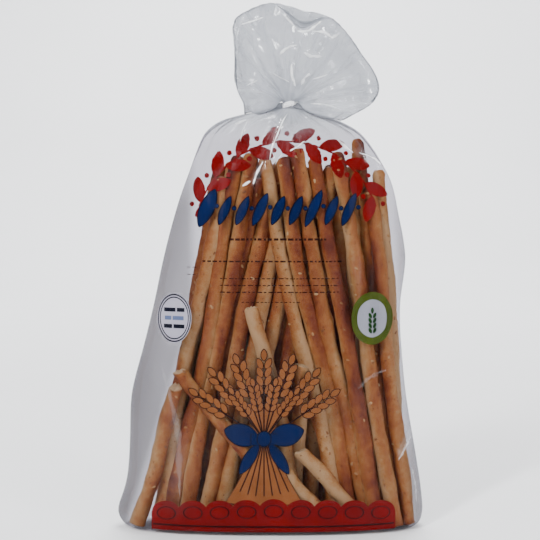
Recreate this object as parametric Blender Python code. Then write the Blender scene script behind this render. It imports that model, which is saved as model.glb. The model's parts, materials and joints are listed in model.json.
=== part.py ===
"""Clear bag of sesame breadsticks, tied near its top and standing on its flat base.

Metres, +Z up. X runs across the bag, -Y is its front, and the origin is the centre of
the base. The bag is one closed skin, lofted through level sections from the base up to
the tie, and through fan-shaped sections from the tie out to the open mouth of the tuft.
"""

import math

import bmesh
import bpy
from mathutils import Vector

# Colours and finishes
BREAD_COLOUR = (0.42, 0.23, 0.12)
FILM_ROUGHNESS = 0.3
TIE_COLOUR = (0.82, 0.83, 0.85)
TIE_ROUGHNESS = 0.4

# Tie and the gathered film inside it
TIE_CENTRE = Vector((0.0130, 0.0, 0.2948))
TIE_HEIGHT = 0.0040
TIE_THICKNESS = 0.0017
TIE_GAP = 0.0004
TIE_SIDES = 12
TIE_STEPS = 36
WAIST_RADIUS = 0.0038
WAIST_HEIGHT = 0.0050

# Body sections: height, left edge, right edge, half depth
BODY_SECTIONS = (
    (0.0000, -0.0975, 0.1000, 0.0255),
    (0.0035, -0.1040, 0.1055, 0.0300),
    (0.0120, -0.1078, 0.1078, 0.0320),
    (0.0300, -0.1010, 0.1060, 0.0325),
    (0.0600, -0.0985, 0.1010, 0.0320),
    (0.0950, -0.0970, 0.0950, 0.0310),
    (0.1250, -0.0890, 0.0920, 0.0300),
    (0.1550, -0.0815, 0.0905, 0.0285),
    (0.1900, -0.0740, 0.0945, 0.0265),
    (0.2200, -0.0660, 0.0890, 0.0240),
    (0.2450, -0.0580, 0.0835, 0.0210),
    (0.2630, -0.0520, 0.0735, 0.0180),
    (0.2760, -0.0460, 0.0630, 0.0150),
    (0.2838, -0.0355, 0.0490, 0.0125),
    (0.2880, -0.0205, 0.0345, 0.0098),
    (0.2903, -0.0060, 0.0245, 0.0076),
    (0.2915, 0.0040, 0.0200, 0.0058),
)
BODY_ROUNDNESS = 2.3
RING_SPACING = 0.0135
SEGMENTS = 112
MERGE_DISTANCE = 0.00001
SHARP_ANGLE = math.radians(50)

# The filled part's own straight sides, which the ridges fan out between
FILL_LEFT_FOOT = -0.1060
FILL_LEFT_SLOPE = 0.2050
FILL_RIGHT_FOOT = 0.1060
FILL_RIGHT_SLOPE = -0.1020
FILL_TOP = 0.2350
FILL_FADE = 0.0270
EDGE_SHARPNESS = 4

# Sticks that press through the skin, and pleats that run out from the tie
RIDGES_AROUND = 28
RIDGE_DEPTH = 0.0018
FACING_SHARPNESS = 1.5
RIDGE_START = 0.0200
RIDGE_END = 0.2150
RIDGE_FADE = 0.0450
PLEATS_AROUND = 14
PLEAT_DEPTH = 0.0022
PLEAT_START = 0.2350
PLEAT_START_FADE = 0.0300
PLEAT_END = 0.2838
PLEAT_END_FADE = 0.0065

# Tuft: its reach from the tie in each direction, as an angle in degrees and a length
TUFT_REACH = (
    (-16.0, 0.0368),
    (-6.0, 0.0492),
    (2.5, 0.0600),
    (9.0, 0.0644),
    (15.0, 0.0650),
    (22.0, 0.0640),
    (33.0, 0.0620),
    (48.0, 0.0625),
    (62.0, 0.0652),
    (75.0, 0.0688),
    (90.0, 0.0702),
    (104.0, 0.0722),
    (116.0, 0.0717),
    (124.0, 0.0702),
    (131.0, 0.0586),
    (141.0, 0.0487),
    (156.0, 0.0413),
    (168.0, 0.0360),
    (180.0, 0.0316),
    (190.0, 0.0318),
)
TUFT_RINGS = 12
TUFT_HALF_DEPTH = 0.0165
TUFT_BELLY_END = 1.15
TUFT_BELLY_FULLNESS = 0.8
TUFT_EDGE_FULLNESS = 0.7
TUFT_RISE_SHARE = 0.22
TUFT_LEVEL_SHARE = 0.6
TUFT_PLEAT_SHARE = 0.22
TUFT_WAVE = 0.0085
TUFT_WAVES = 3.6
TUFT_WAVE_START = 0.6
RIM_HALF_DEPTH = 0.0020
MOUTH_ANGLE = 81.0
MOUTH_HALF_ANGLE = 19.0
MOUTH_OPENING = 0.0090
MOUTH_DROP = 0.0130
MOUTH_SINK = 0.0180


def smooth_step(value):
    """Ease from 0 to 1 as value goes from 0 to 1."""
    value = min(max(value, 0.0), 1.0)
    return value * value * (3.0 - 2.0 * value)


def through_points(table, key):
    """Read a smooth curve through the rows of a table at its first column's value."""
    key = min(max(key, table[0][0]), table[-1][0])
    index = 0
    while index < len(table) - 2 and key > table[index + 1][0]:
        index += 1
    low, high = table[index], table[index + 1]
    before = table[max(index - 1, 0)]
    after = table[min(index + 2, len(table) - 1)]
    span = high[0] - low[0]
    t = (key - low[0]) / span
    values = []
    for a, b, c, d in zip(before[1:], low[1:], high[1:], after[1:]):
        start = (c - a) / (high[0] - before[0]) * span
        end = (d - b) / (after[0] - low[0]) * span
        values.append(
            (2 * t**3 - 3 * t**2 + 1) * b
            + (t**3 - 2 * t**2 + t) * start
            + (3 * t**2 - 2 * t**3) * c
            + (t**3 - t**2) * end
        )
    return values


def rounded(value):
    """Pull a sine or cosine out towards a rounded rectangle."""
    return math.copysign(abs(value) ** (2.0 / BODY_ROUNDNESS), value)


def body_heights():
    """Heights of the body's rings, closer together near the base and the tie."""
    heights = [row[0] for row in BODY_SECTIONS]
    rings = []
    for low, high in zip(heights, heights[1:]):
        steps = max(1, round((high - low) / RING_SPACING))
        rings += [low + (high - low) * step / steps for step in range(steps)]
    return rings + [heights[-1]]


def body_point(height, turn):
    """Point of the body's envelope at one height and one turn round it."""
    left, right, depth = through_points(BODY_SECTIONS, height)
    straight = 1 - smooth_step((height - FILL_TOP) / FILL_FADE)
    fill_left = left + (FILL_LEFT_FOOT + FILL_LEFT_SLOPE * height - left) * straight
    fill_right = right + (FILL_RIGHT_FOOT + FILL_RIGHT_SLOPE * height - right) * straight
    across = rounded(math.cos(turn))
    x = (fill_left + fill_right) / 2 + (fill_right - fill_left) / 2 * across
    side = abs(across) ** EDGE_SHARPNESS
    x += side * (right - fill_right if across > 0 else left - fill_left)
    return Vector((x, -depth * rounded(math.sin(turn)), height))


def body_ring(height):
    """Level section of the body at one height."""
    return [body_point(height, math.tau * step / SEGMENTS) for step in range(SEGMENTS)]


def waist_ring(height):
    """Tight round section inside the tie."""
    ring = []
    for step in range(SEGMENTS):
        turn = math.tau * step / SEGMENTS
        offset = Vector((math.cos(turn), -math.sin(turn), 0.0)) * WAIST_RADIUS
        ring.append(Vector((TIE_CENTRE.x, TIE_CENTRE.y, height)) + offset)
    return ring


def mouth_share(angle):
    """How far the tuft's mouth stands open in one direction, from 0 to 1."""
    return smooth_step(1.0 - abs(angle - MOUTH_ANGLE) / MOUTH_HALF_ANGLE)


def tuft_point(turn, t, sink):
    """Point of the tuft at a turn round the tie and a share t of the way to its rim."""
    first, last = TUFT_REACH[0][0], TUFT_REACH[-1][0]
    angle = (first + last) / 2 - (last - first) / 2 * math.cos(turn)
    direction = math.radians(angle)
    mouth = mouth_share(angle)
    front = max(math.sin(turn), 0.0) ** 0.5
    reach = through_points(TUFT_REACH, angle)[0]
    reach -= MOUTH_DROP * mouth * front * t * (1 - sink)
    reach -= sink * (RIM_HALF_DEPTH / 2 + MOUTH_SINK * mouth)
    length = WAIST_RADIUS + (reach - WAIST_RADIUS) * t
    belly = math.sin(math.pi * min(t * TUFT_BELLY_END, 1.0)) ** TUFT_BELLY_FULLNESS
    opening = RIM_HALF_DEPTH + MOUTH_OPENING * mouth
    depth = WAIST_RADIUS * (1 - t) + opening * t + TUFT_HALF_DEPTH * belly
    pleat = 0.5 + 0.5 * math.cos(PLEATS_AROUND * turn)
    depth *= (1.0 - sink) * (1.0 - TUFT_PLEAT_SHARE * pleat * (1 - t))
    edge = abs(math.sin(turn)) ** TUFT_EDGE_FULLNESS
    swing = math.sin(TUFT_WAVES * direction + TUFT_WAVE_START)
    wave = TUFT_WAVE * t * swing * edge * (1 - mouth)
    rise = smooth_step(t / TUFT_RISE_SHARE)
    lift = WAIST_HEIGHT / 2 * (1 - smooth_step(t / TUFT_LEVEL_SHARE))
    x = TIE_CENTRE.x + length * math.cos(direction)
    y = -math.copysign(edge, math.sin(turn)) * depth + wave
    z = TIE_CENTRE.z + lift + length * math.sin(direction) * rise
    return Vector((x, y, z))


def tuft_ring(t, sink=0.0):
    """Section of the tuft, a closed fan with a front and a back layer."""
    return [tuft_point(math.tau * step / SEGMENTS, t, sink) for step in range(SEGMENTS)]


def relief(height, turn):
    """How far the skin lies inside its envelope, in metres."""
    filled = smooth_step(height / RIDGE_START)
    filled *= 1 - smooth_step((height - RIDGE_END) / RIDGE_FADE)
    ridge = 0.5 + 0.5 * math.cos(RIDGES_AROUND * turn)
    near_tie = smooth_step((height - PLEAT_START) / PLEAT_START_FADE)
    near_tie *= 1 - smooth_step((height - PLEAT_END) / PLEAT_END_FADE)
    pleat = 0.5 + 0.5 * math.cos(PLEATS_AROUND * turn)
    facing = abs(math.sin(turn)) ** FACING_SHARPNESS
    return RIDGE_DEPTH * filled * facing * ridge + PLEAT_DEPTH * near_tie * pleat


def outward(rings, row, column):
    """Outward direction of the loft at one of its points."""
    along = rings[min(row + 1, len(rings) - 1)][column] - rings[max(row - 1, 0)][column]
    around = rings[row][(column + 1) % SEGMENTS] - rings[row][column - 1]
    return along.cross(around).normalized()


def pressed_rings(rings):
    """Press the sticks' ridges and the tie's pleats into the body's rings."""
    pressed = []
    for row, ring in enumerate(rings):
        points = []
        for column, point in enumerate(ring):
            turn = math.tau * column / SEGMENTS
            inward = relief(point.z, turn)
            points.append(point - outward(rings, row, column) * inward)
        pressed.append(points)
    return pressed


def lofted_skin(rings):
    """Mesh of quads through the rings, with a flat base and a closed last ring."""
    mesh = bmesh.new()
    rows = [[mesh.verts.new(point) for point in ring] for ring in rings]
    for low, high in zip(rows, rows[1:]):
        for step in range(SEGMENTS):
            after = (step + 1) % SEGMENTS
            mesh.faces.new((low[after], low[step], high[step], high[after]))
    mesh.faces.new(rows[0])
    bmesh.ops.remove_doubles(mesh, verts=rows[-1], dist=MERGE_DISTANCE)
    bmesh.ops.recalc_face_normals(mesh, faces=mesh.faces)
    bmesh.ops.triangulate(mesh, faces=mesh.faces)
    return mesh


def finished(name, mesh, colour, roughness, collection):
    """Put a mesh in the collection as a smooth-shaded object with its own material."""
    data = bpy.data.meshes.new(name)
    mesh.to_mesh(data)
    mesh.free()
    data.shade_smooth()
    data.set_sharp_from_angle(angle=SHARP_ANGLE)
    material = bpy.data.materials.new(name)
    material.use_nodes = True
    shader = material.node_tree.nodes["Principled BSDF"]
    shader.inputs["Base Color"].default_value = (*colour, 1.0)
    shader.inputs["Roughness"].default_value = roughness
    shader.inputs["Metallic"].default_value = 0.0
    data.materials.append(material)
    piece = bpy.data.objects.new(name, data)
    collection.objects.link(piece)
    return piece


def make_bag(collection):
    """The filled bag: body, waist and tuft in one closed skin."""
    body = pressed_rings([body_ring(height) for height in body_heights()])
    half = WAIST_HEIGHT / 2
    waist = [waist_ring(TIE_CENTRE.z - half), waist_ring(TIE_CENTRE.z + half)]
    tuft = [tuft_ring((step + 1) / TUFT_RINGS) for step in range(TUFT_RINGS)]
    inner = [tuft_ring(1.0, sink) for sink in (0.5, 1.0)]
    rings = body + waist + tuft + inner
    return finished("bag", lofted_skin(rings), BREAD_COLOUR, FILM_ROUGHNESS, collection)


def make_tie(collection):
    """Soft white band round the waist, a turned ring with an oval section."""
    profile = bmesh.new()
    inner = WAIST_RADIUS + TIE_GAP
    points = []
    for side in range(TIE_SIDES):
        angle = math.tau * side / TIE_SIDES
        out = inner + TIE_THICKNESS / 2 * (1 + math.cos(angle))
        points.append(profile.verts.new((out, 0.0, TIE_HEIGHT / 2 * math.sin(angle))))
    for side, point in enumerate(points):
        profile.edges.new((points[side - 1], point))
    bmesh.ops.spin(
        profile,
        geom=profile.verts[:] + profile.edges[:],
        cent=(0.0, 0.0, 0.0),
        axis=(0.0, 0.0, 1.0),
        angle=math.tau,
        steps=TIE_STEPS,
        use_merge=True,
    )
    bmesh.ops.remove_doubles(profile, verts=profile.verts, dist=MERGE_DISTANCE)
    bmesh.ops.recalc_face_normals(profile, faces=profile.faces)
    bmesh.ops.translate(profile, verts=profile.verts, vec=TIE_CENTRE)
    bmesh.ops.triangulate(profile, faces=profile.faces)
    return finished("neck_tie", profile, TIE_COLOUR, TIE_ROUGHNESS, collection)


def main():
    """Clear the scene and build both pieces."""
    for thing in list(bpy.data.objects):
        bpy.data.objects.remove(thing, do_unlink=True)
    collection = bpy.data.collections.new("breadstick_bag")
    bpy.context.scene.collection.children.link(collection)
    make_bag(collection)
    make_tie(collection)


main()
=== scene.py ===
"""Looks of a clear tied bag of sesame breadsticks.

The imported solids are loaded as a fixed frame. Each group of pieces has its own operator,
and the main function calls them in order.
"""

import json
import math
import random

import bmesh
import bpy
import numpy as np
from mathutils import Matrix, Vector, noise
from mathutils.bvhtree import BVHTree

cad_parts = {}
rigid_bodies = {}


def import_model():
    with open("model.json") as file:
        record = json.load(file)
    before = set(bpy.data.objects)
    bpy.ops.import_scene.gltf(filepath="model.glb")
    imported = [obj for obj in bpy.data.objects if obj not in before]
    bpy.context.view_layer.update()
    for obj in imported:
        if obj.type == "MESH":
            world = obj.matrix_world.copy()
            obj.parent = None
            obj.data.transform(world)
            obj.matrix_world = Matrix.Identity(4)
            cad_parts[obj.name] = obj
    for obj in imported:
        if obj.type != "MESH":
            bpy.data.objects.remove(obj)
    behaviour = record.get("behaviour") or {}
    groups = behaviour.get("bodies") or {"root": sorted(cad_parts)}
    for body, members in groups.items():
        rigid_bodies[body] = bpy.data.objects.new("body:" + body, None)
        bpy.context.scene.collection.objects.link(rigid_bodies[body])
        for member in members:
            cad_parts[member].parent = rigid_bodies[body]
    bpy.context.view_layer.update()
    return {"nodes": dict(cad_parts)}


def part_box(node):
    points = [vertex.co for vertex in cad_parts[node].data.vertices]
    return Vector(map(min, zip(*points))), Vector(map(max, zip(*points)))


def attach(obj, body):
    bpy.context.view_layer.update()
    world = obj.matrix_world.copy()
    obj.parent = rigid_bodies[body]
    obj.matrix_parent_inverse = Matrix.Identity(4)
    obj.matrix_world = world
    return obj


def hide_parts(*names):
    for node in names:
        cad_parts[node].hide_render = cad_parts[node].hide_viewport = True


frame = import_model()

bl_info = {
    "name": "Breadstick bag",
    "version": (1, 0, 0),
    "blender": (4, 5, 0),
    "location": "3D View > Sidebar > Breadsticks",
    "description": "Builds a clear tied bag of sesame breadsticks round its packed frame",
    "category": "Add Mesh",
}

MM = 0.001

# Frame of the bag
TIE_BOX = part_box("neck_tie")
TIE_CENTRE = (Vector(TIE_BOX[0]) + Vector(TIE_BOX[1])) / 2

# Loose breadsticks seen from the front: foot and head across the bag, head height,
# depth from -1 at the front film to 1 at the back, bake from pale to dark, thickness
FRONT_LAY = (
    (-96, -49, 226, -0.60, 0.30, 11.0),
    (-86, -30, 239, -0.75, 0.40, 11.5),
    (-74, -22, 255, -0.95, 0.55, 11.0),
    (-62, -16, 257, -0.90, 0.36, 11.5),
    (-51, 2, 253, -0.70, 0.56, 11.8),
    (-42, 14, 256, -0.55, 0.36, 11.2),
    (-34, 27, 246, -0.60, 0.30, 11.0),
    (-14, 30, 250, -0.30, 0.50, 11.0),
    (3, -3, 252, -0.30, 0.60, 11.5),
    (18, 38, 248, -0.60, 0.45, 11.0),
    (33, 22, 255, -0.50, 0.60, 11.0),
    (46, -9, 254, -0.80, 0.25, 10.8),
    (57, 5, 254, -0.65, 0.48, 11.4),
    (68, 16, 260, -0.85, 0.45, 11.5),
    (79, 31, 254, -0.80, 0.50, 11.5),
    (90, 46, 258, -0.60, 0.38, 11.2),
    (82, 60, 268, -0.20, 0.62, 11.5),
    (91, 72, 236, -0.55, 0.58, 10.8),
    (103, 92, 247, -0.35, 0.02, 11.2),
)

# Broken ones: lower end across and height, upper end across and height, depth, bake,
# thickness, and which ends are broken
BROKEN_LAY = (
    (38, 4, -5, 153, -0.95, 0.28, 11.5, "upper"),
    (-97, 3, -74, 101, -0.80, 0.35, 11.5, "upper"),
    (14, 4, 26, 118, -0.70, 0.35, 11.5, "upper"),
    (-12, 44, -68, 108, -0.98, 0.50, 10.5, "both"),
    (66, 8, 23, 53, -1.00, 0.05, 11.0, "upper"),
    (44, 6, 11, 43, -0.98, 0.08, 10.5, "upper"),
    (1, 4, 3, 192, 0.25, 0.70, 12.2, "upper"),
)
# Rows behind the front: how many sticks, their shift in shares of a stick, and their depth
BEHIND_ROWS = ((6, 0.5, 0.10), (8, 0.2, 0.50), (9, 0.5, 0.97))
# Feet and heads of those rows: the left end of the row and its length, in metres
BEHIND_FEET = (-0.091, 0.182)
BEHIND_HEADS = (-0.036, 0.094)
BEHIND_THICKNESS = (0.0106, 0.0118)

# Thickness of a stick's head beside its foot
STICK_TAPER = 0.86

# Solver that lays the sticks: its steps, the pull to their depth and the share of the way
# back to their place across in the first step, the height of their feet and their room
SETTLE_STEPS = 420
PULL_STEP = 0.0003
HOME_STEP = 0.04
FOOT_HEIGHT = 0.0032
STICK_ROOM = 0.0011

# Unevenness of the crust: size of its lumps and their rise
CRUST_LUMP = 0.009
CRUST_RISE = 0.0013

# Seeds: how many on a metre of stick, their lengths in millimetres and how deep they sit
SEEDS_PER_METRE = 110
SEED_LENGTHS = (2.5, 3.3)
SEED_SINK = 0.00012

# Left edge of the sticks: place across at the foot, lean, and the furthest to the right
SLACK_LINE = (-0.101, 0.314, -0.054)

# Clear room between the film and the crust, the print's place in it, the step between its
# layers, the size of its faces and its thickness
FILM_ROOM = 1.05 * MM
PRINT_DEPTH = 0.95 * MM
PRINT_STEP = 0.085 * MM
PRINT_GRID = 2.2 * MM
INK_THICKNESS = 0.05 * MM

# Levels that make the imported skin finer, and how far the film may lie inside it
FILM_LEVELS = 2
SKIN_SLACK = 0.1 * MM

# Lowest folds of the tuft in millimetres: how far they stand out and hang down over the
# shoulders, and how far those at its outer corners hang down
DRAPE_OUT = 3.8
DRAPE_DOWN = 3.6
CORNER_DOWN = 1.3

# Small folds beside the tie: half width, depth and height, and place across and up from it
NECK_FOLD_SIZE = (4.6, 2.5, 3.3)
NECK_FOLD_PLACE = (6.9, -2.6)

# Tie in millimetres: radius of its turns' wire, radius and turns of its ends, and of the
# twist that they make
WRAP_RADIUS = 0.62
TAIL_RADIUS = 0.72
TAIL_TURNS = 1.8
TWIST_RADIUS = 0.75

# Milky haze of the film: in the tuft, round the neck and the knot, in the folds that hang
# over the shoulders, and in the slack film beside the sticks
TUFT_MILK = 0.32
NECK_MILK = 0.16
KNOT_MILK = 0.6
DRAPE_MILK = 0.25
FOLD_GREY = 0.05

# Shine of the film where it clings and in the tuft
FILM_SHEEN = 0.03
TUFT_SHEEN = 0.34

WHITE = (1.0, 1.0, 1.0, 1.0)

# Crust and seeds from pale to toasted: share and colour
CRUST_TONES = (
    (0.00, (206, 164, 112)),
    (0.20, (194, 140, 80)),
    (0.40, (178, 110, 50)),
    (0.60, (156, 82, 28)),
    (0.78, (128, 54, 12)),
    (1.00, (88, 26, 3)),
)
SEED_TONES = ((0.0, (212, 174, 116)), (0.5, (190, 138, 80)), (1.0, (140, 82, 38)))

# Inks: darker and lighter colour
INK_COLOURS = {
    "red": ((122, 0, 0), (158, 0, 0)),
    "maroon": ((44, 0, 0), (58, 0, 2)),
    "navy": ((0, 4, 26), (2, 8, 38)),
    "blue": ((0, 25, 74), (2, 36, 96)),
    "sky": ((120, 138, 180), (140, 156, 192)),
    "white": ((232, 231, 242), (244, 243, 250)),
    "pale": ((188, 192, 200), (204, 208, 214)),
    "green": ((60, 78, 4), (94, 110, 18)),
    "leaf_green": ((22, 62, 18), (38, 88, 24)),
    "tan": ((158, 94, 46), (180, 112, 58)),
    "brown": ((40, 14, 4), (54, 20, 8)),
    "sepia": ((50, 20, 10), (66, 30, 18)),
}

# White stamp on the left: place across and up, half width and half height
STAMP = (-66.0, 148.6, 12.4, 17.0)
# Its rows of bars: rise from its middle, half lengths and ink
STAMP_BARS = ((5.6, (4.2, 2.6), "navy"), (0, (2.4, 3.8), "sky"), (-5.6, (3, 3.8), "navy"))

# Green ring and tan sheaf: place across and up
RING_PLACE = (70.2, 148.5)
SHEAF_PLACE = (-4.0, 67.0)

# Red branch: centre across and up, half width and half height, and degrees to each end
BRANCH_ARCH = (12, 200, 65.0, 69.0)
BRANCH_SPREAD = 69

# Blue blades: place of the first, step between them, and half lengths
BLADES_LEFT = -43
BLADE_STEP = 12.1
BLADE_HALVES = (13.5, 10, 10, 11.5, 10, 10, 13.0, 10, 11.5)

# Rows of dashes: height, first and last place across, half height, shortest and longest dash
DASH_ROWS = (
    (202.5, -27, 38, 0.75, 1.2, 4.4),
    (187.6, -46, 50, 0.55, 1.0, 4.0),
    (176.0, -34, 47, 0.34, 0.8, 3.6),
    (171.4, -34, 47, 0.34, 0.8, 3.6),
    (166.8, -34, 47, 0.40, 0.8, 3.6),
    (160.0, -19, 21, 0.28, 0.8, 3.0),
    (183.5, -57, -50, 0.24, 1.5, 3.0),
    (178.5, -57, -50, 0.24, 1.5, 3.0),
)

# Raised creases of the front film: width, height, and the line across and up
FRONT_CREASES = (
    (3.2, 2.0, ((11.4, 290), (6, 279), (0, 263.5), (0, 254))),
    (2.2, 1.2, ((-4.7, 255.5), (-11.4, 240))),
    (2.4, 1.2, ((57, 264), (66, 260), (75, 254))),
    (2.0, 1.0, ((28, 297), (44, 296))),
    (3.0, 2.2, ((14.7, 322), (16.7, 306))),
    (2.0, 1.0, ((4, 315), (12, 311))),
    (2.4, 1.1, ((97, 68), (89, 54))),
    (9.0, 0.8, ((-82, 128), (-68, 92), (-63, 57), (-65, 18))),
    (3.0, 1.3, ((8, 334), (19, 331))),
    (3.0, 1.3, ((24, 330), (34, 327))),
    (4.0, 1.5, ((34, 344), (46, 339))),
)

# Painted highlights on the front film: sharp white streaks along its creases, partly the whitening
# of a real crease and partly painted highlight: width, whiteness, and the line across and up
FILM_HIGHLIGHT_STREAKS = (
    (1.3, 1.0, ((12.0, 288.1), (8.7, 282.8), (4.7, 272.7), (1.3, 264.7), (-0.3, 256.0))),
    (1.8, 1.0, ((-4.7, 255.3), (-8.7, 247.9), (-11.4, 239.8))),
    (1.5, 0.9, ((-13.4, 241.8), (-18.7, 238.5))),
    (1.5, 0.9, ((23.5, 269.2), (19.1, 265.4), (13.4, 262.2))),
    (1.0, 0.5, ((8.6, 260.5), (6.0, 257.4), (3.4, 252.9))),
    (2.4, 0.7, ((46.2, 270.1), (51.5, 265.4), (56.9, 261.3))),
    (2.4, 0.9, ((60.9, 261.3), (67.6, 259.3), (72.3, 257.3), (76.3, 253.3))),
    (0.9, 0.8, ((27.4, 294.8), (36.1, 294.5), (44.2, 292.8))),
    (2.4, 1.0, ((14.4, 320.2), (14.7, 313.5), (17.1, 306.2))),
    (1.1, 0.7, ((2.0, 315.5), (7.4, 312.2), (13.4, 308.8))),
    (4.0, 0.5, ((21.4, 306.8), (23.4, 311.5), (26.8, 314.2))),
    (1.2, 0.6, ((28.8, 310.8), (34.1, 312.2), (39.5, 314.2))),
    (2.6, 0.8, ((6.7, 327.5), (10.7, 330.8), (18.1, 332.8))),
    (3.4, 0.5, ((22.7, 328.1), (27.4, 325.5), (34.8, 325.5))),
    (2.8, 0.8, ((28.8, 343.4), (36.8, 342.1), (42.1, 338.8), (46.8, 342.1))),
    (1.6, 0.6, ((8.0, 357.4), (13.4, 351.0), (18.1, 344.4))),
    (3.0, 0.9, ((18.4, 343.4), (22.0, 342.6), (27.0, 344.0), (34.8, 350.4))),
    (2.0, 0.8, ((-20.1, 350.5), (-13.4, 352.0), (-4.7, 355.0))),
    (1.8, 0.5, ((-16.1, 306.8), (-8.7, 310.2))),
    (1.8, 0.5, ((-24.8, 280.8), (-16.1, 284.0))),
    (0.8, 0.6, ((-14.7, 284.5), (-18.7, 276.1), (-20.4, 268.7))),
    (2.4, 0.3, ((98.3, 66.2), (93.0, 57.9), (88.3, 50.3))),
    (3.0, 0.055, ((59.4, 100.6), (66.0, 107.0), (73.5, 111.0), (80.0, 113.0))),
    (4.5, 0.06, ((-74.3, 116.7), (-68.9, 98.0), (-64.9, 82.2), (-62.2, 66.9), (-61.5, 24.4))),
    (2.4, 0.25, ((98.3, 44.0), (101.0, 30.8), (101.7, 19.6))),
)

# Lamps: name, place, width and height, power
LAMPS = (
    ("key_lamp", (-0.70, -1.05, 1.15), (0.12, 0.75), 30),
    ("fill_lamp", (1.10, -0.90, 0.60), (0.30, 0.90), 10),
    ("top_lamp", (0.10, 0.15, 1.40), (0.3, 0.3), 11),
    ("back_wall_lamp", (0.0, 1.6, 2.6), (2.0, 2.0), 195),
    ("front_wall_lamp", (0.0, -1.6, 2.6), (2.0, 2.0), 18),
    ("left_wall_lamp", (-1.6, 0.0, 2.6), (2.0, 2.0), 18),
    ("right_wall_lamp", (1.6, 0.0, 2.6), (2.0, 2.0), 18),
)
# Studio floor: size, height of its walls and size of the bend between them
FLOOR_SIZE = 7
WALL_HEIGHT = 4
SWEEP_BEND = 1.6


def eased(value):
    """Ease from 0 to 1 as value goes from 0 to 1."""
    value = min(max(value, 0.0), 1.0)
    return value * value * (3.0 - 2.0 * value)


def held(values):
    """Numbers held between 0 and 1."""
    return np.clip(values, 0, 1)


def linear(red, green, blue):
    """Colour for a shader from the 0 to 255 numbers of a colour picker."""
    values = []
    for part in (red, green, blue):
        part /= 255
        values.append(part / 12.92 if part <= 0.04045 else ((part + 0.055) / 1.055) ** 2.4)
    return (*values, 1.0)


# Shader building


def maths_method(operation, swapped=False):
    """A method for one operator of Level, which adds a Math node."""

    def method(self, other):
        values = (other, self) if swapped else (self, other)
        return self.finish.maths(operation, *values)

    return method


class Level:
    """A number in a shader. Arithmetic on it adds Math nodes."""

    def __init__(self, finish, socket):
        self.finish = finish
        self.socket = socket

    __add__ = maths_method("ADD")
    __radd__ = maths_method("ADD", swapped=True)
    __sub__ = maths_method("SUBTRACT")
    __rsub__ = maths_method("SUBTRACT", swapped=True)
    __mul__ = maths_method("MULTIPLY")
    __rmul__ = maths_method("MULTIPLY", swapped=True)
    __truediv__ = maths_method("DIVIDE")
    __pow__ = maths_method("POWER")

    def within(self):
        """The same number held between 0 and 1."""
        return self.finish.maths("MULTIPLY", self, 1.0, clamp=True)

    def between(self, low, high):
        """Share of the way from low to high, held between 0 and 1."""
        return ((self - low) / (high - low)).within()


class Finish:
    """One material and the nodes in it."""

    def __init__(self, name):
        self.material = bpy.data.materials.new(name)
        self.material.use_nodes = True
        self.tree = self.material.node_tree
        self.tree.nodes.clear()

    def node(self, kind, inputs=None, **settings):
        """Add a node: its settings first, then the values or links of its sockets."""
        made = self.tree.nodes.new("ShaderNode" + kind)
        for key, value in settings.items():
            if key == "stops":
                self.set_stops(made.color_ramp.elements, value)
            else:
                setattr(made, key, value)
        for key, value in (inputs or {}).items():
            self.feed(made.inputs[key], value)
        return made

    def set_stops(self, elements, stops):
        """Give a colour ramp its stops."""
        while len(elements) < len(stops):
            elements.new(0.5)
        for element, (place, colour) in zip(elements, stops):
            element.position = place
            element.color = linear(*colour)

    def feed(self, socket, value):
        """Link or set one socket."""
        if isinstance(value, Level):
            value = value.socket
        if isinstance(value, bpy.types.NodeSocket):
            self.tree.links.new(value, socket)
        else:
            socket.default_value = value

    def level(self, kind, output, inputs=None, **settings):
        """Number that a new node gives out."""
        return Level(self, self.node(kind, inputs, **settings).outputs[output])

    def maths(self, operation, *values, clamp=False):
        """Number worked out from others."""
        inputs = dict(enumerate(values))
        return self.level("Math", 0, inputs, operation=operation, use_clamp=clamp)

    def attribute(self, name):
        """Number stored on the mesh."""
        return self.level("Attribute", "Fac", attribute_name=name)

    def place(self, stretch=(1.0, 1.0, 1.0)):
        """Object coordinates, stretched."""
        inputs = {"Vector": self.node("TexCoord").outputs["Object"], "Scale": stretch}
        return self.node("Mapping", inputs).outputs["Vector"]

    def clouds(self, place, size, detail=3.0, roughness=0.5):
        """Soft noise whose patches are about size metres across."""
        inputs = {"Vector": place, "Scale": 1.0 / size, "Detail": detail, "Roughness": roughness}
        return self.level("TexNoise", "Fac", inputs)

    def dots(self, place, size, feature="F1"):
        """Distance to dots scattered size metres apart, or to their cells' edges."""
        inputs = {"Vector": place, "Scale": 1.0 / size}
        return self.level("TexVoronoi", "Distance", inputs, feature=feature)

    def ramp(self, level, stops):
        """Colour from a number."""
        return self.node("ValToRGB", {"Fac": level}, stops=stops).outputs[0]

    def blend(self, share, first, second):
        """Colour part of the way from the first to the second."""
        return self.node("Mix", {0: share, 6: first, 7: second}, data_type="RGBA").outputs[2]

    def bump(self, height, distance, strength):
        """Normal bent by a height in shares of distance."""
        inputs = {"Height": height, "Distance": distance, "Strength": strength}
        return self.node("Bump", inputs).outputs["Normal"]

    def shader(self, kind, **inputs):
        """Shader of one kind. Its inputs are named with _ for a space."""
        inputs = {key.replace("_", " "): value for key, value in inputs.items()}
        return self.node("Bsdf" + kind, inputs).outputs[0]

    def layered(self, share, under, over):
        """One shader over another by a share."""
        return self.node("MixShader", {0: share, 1: under, 2: over}).outputs[0]

    def output(self, shader):
        """Send a shader to the material's surface and return the material."""
        self.node("OutputMaterial", {"Surface": shader})
        return self.material

    def solid(self, colour, roughness, normal=None, **more):
        """The material as one solid surface."""
        if normal is not None:
            more["Normal"] = normal
        more.update(Base_Color=colour, Roughness=roughness)
        return self.output(self.shader("Principled", **more))


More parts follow.
